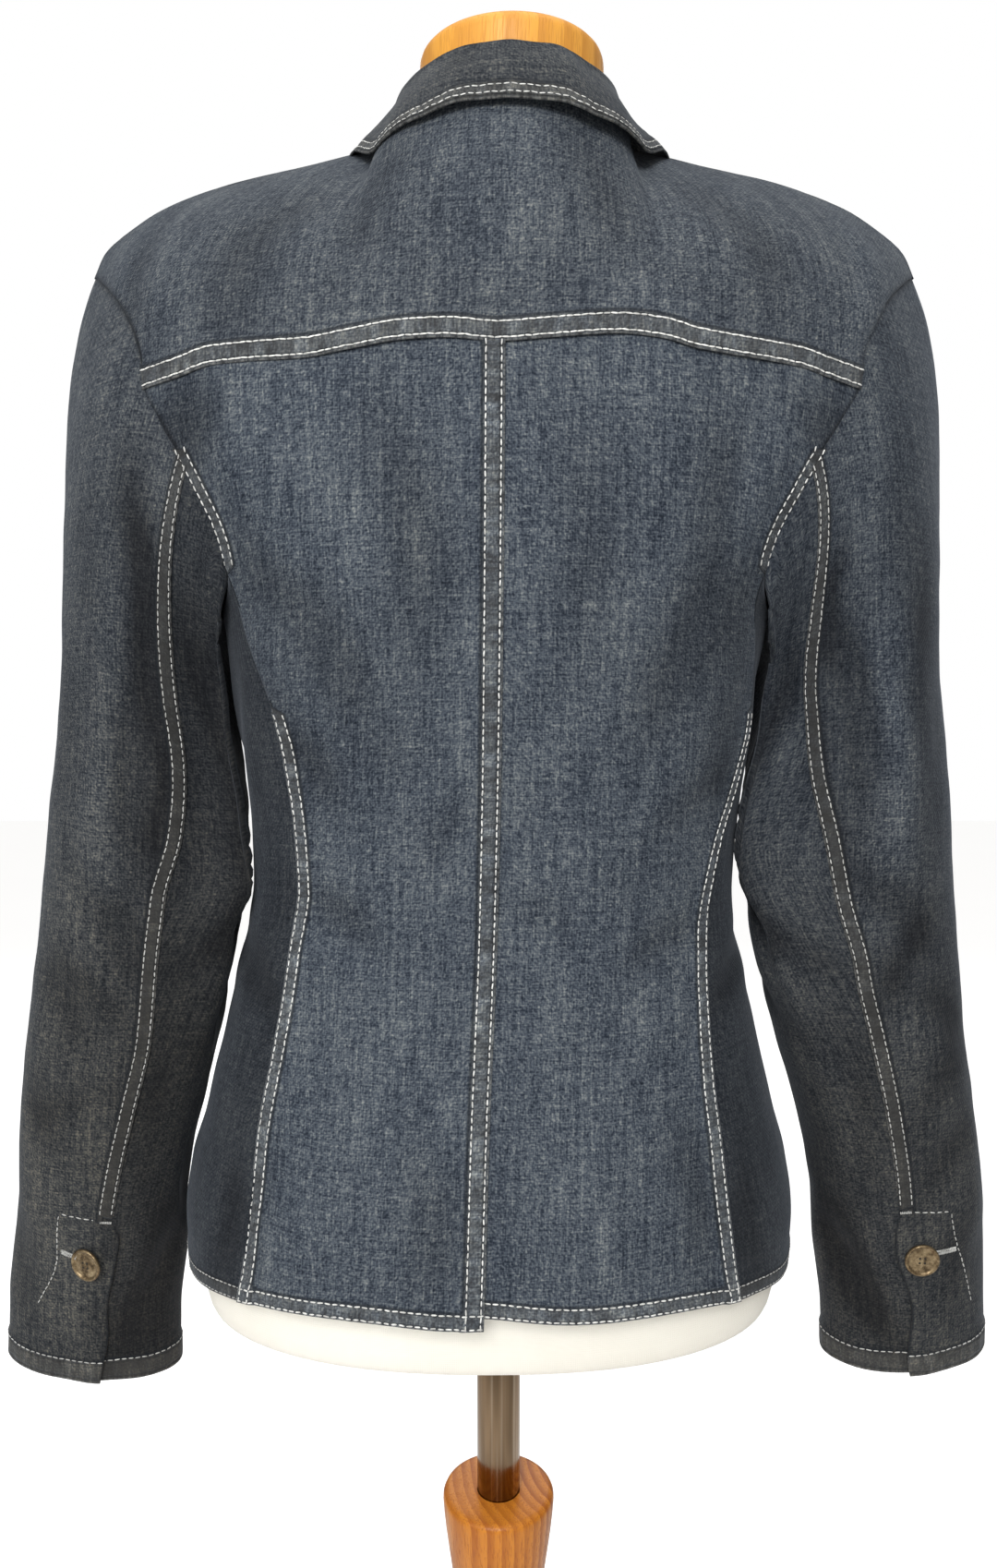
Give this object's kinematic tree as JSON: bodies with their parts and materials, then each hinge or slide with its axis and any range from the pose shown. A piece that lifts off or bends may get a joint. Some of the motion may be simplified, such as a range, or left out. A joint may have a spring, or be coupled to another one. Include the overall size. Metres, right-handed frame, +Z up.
{
  "type": "blazer on a dress form and stand",
  "caption": "Tailored denim blazer on a limbless dress form with a wooden neck cap, chrome pole and turned wooden stand.",
  "frame": {"origin": "centre of the base's underside, on the floor under the pole", "axes": "+Z up along the pole; -Y towards the blazer's front, +X towards the wearer's left"},
  "size_m": [0.5757, 0.34, 1.5],
  "materials": {
    "denim": "matte woven",
    "buttons": "antique",
    "form_jersey": "matte knit",
    "wood": "satin varnish",
    "pole": "polished"
  },
  "bodies": {
    "root": {"back_left": "denim", "back_right": "denim", "back_yoke": "denim", "collar": "denim", "cuff_button_left": "buttons", "cuff_button_right": "buttons", "form_body": "form_jersey", "front_button_bottom": "buttons", "front_button_middle": "buttons", "front_button_top": "buttons", "front_left": "denim", "front_right": "denim", "lapel_left": "denim", "lapel_right": "denim", "neck_cap": "wood", "pocket_flap_left": "denim", "pocket_flap_right": "denim", "pole": "pole", "side_left": "denim", "side_right": "denim", "stand_base": "wood", "stand_post": "wood", "under_sleeve_left": "denim", "under_sleeve_right": "denim", "upper_sleeve_left": "denim", "upper_sleeve_right": "denim"}
  },
  "joints": []
}
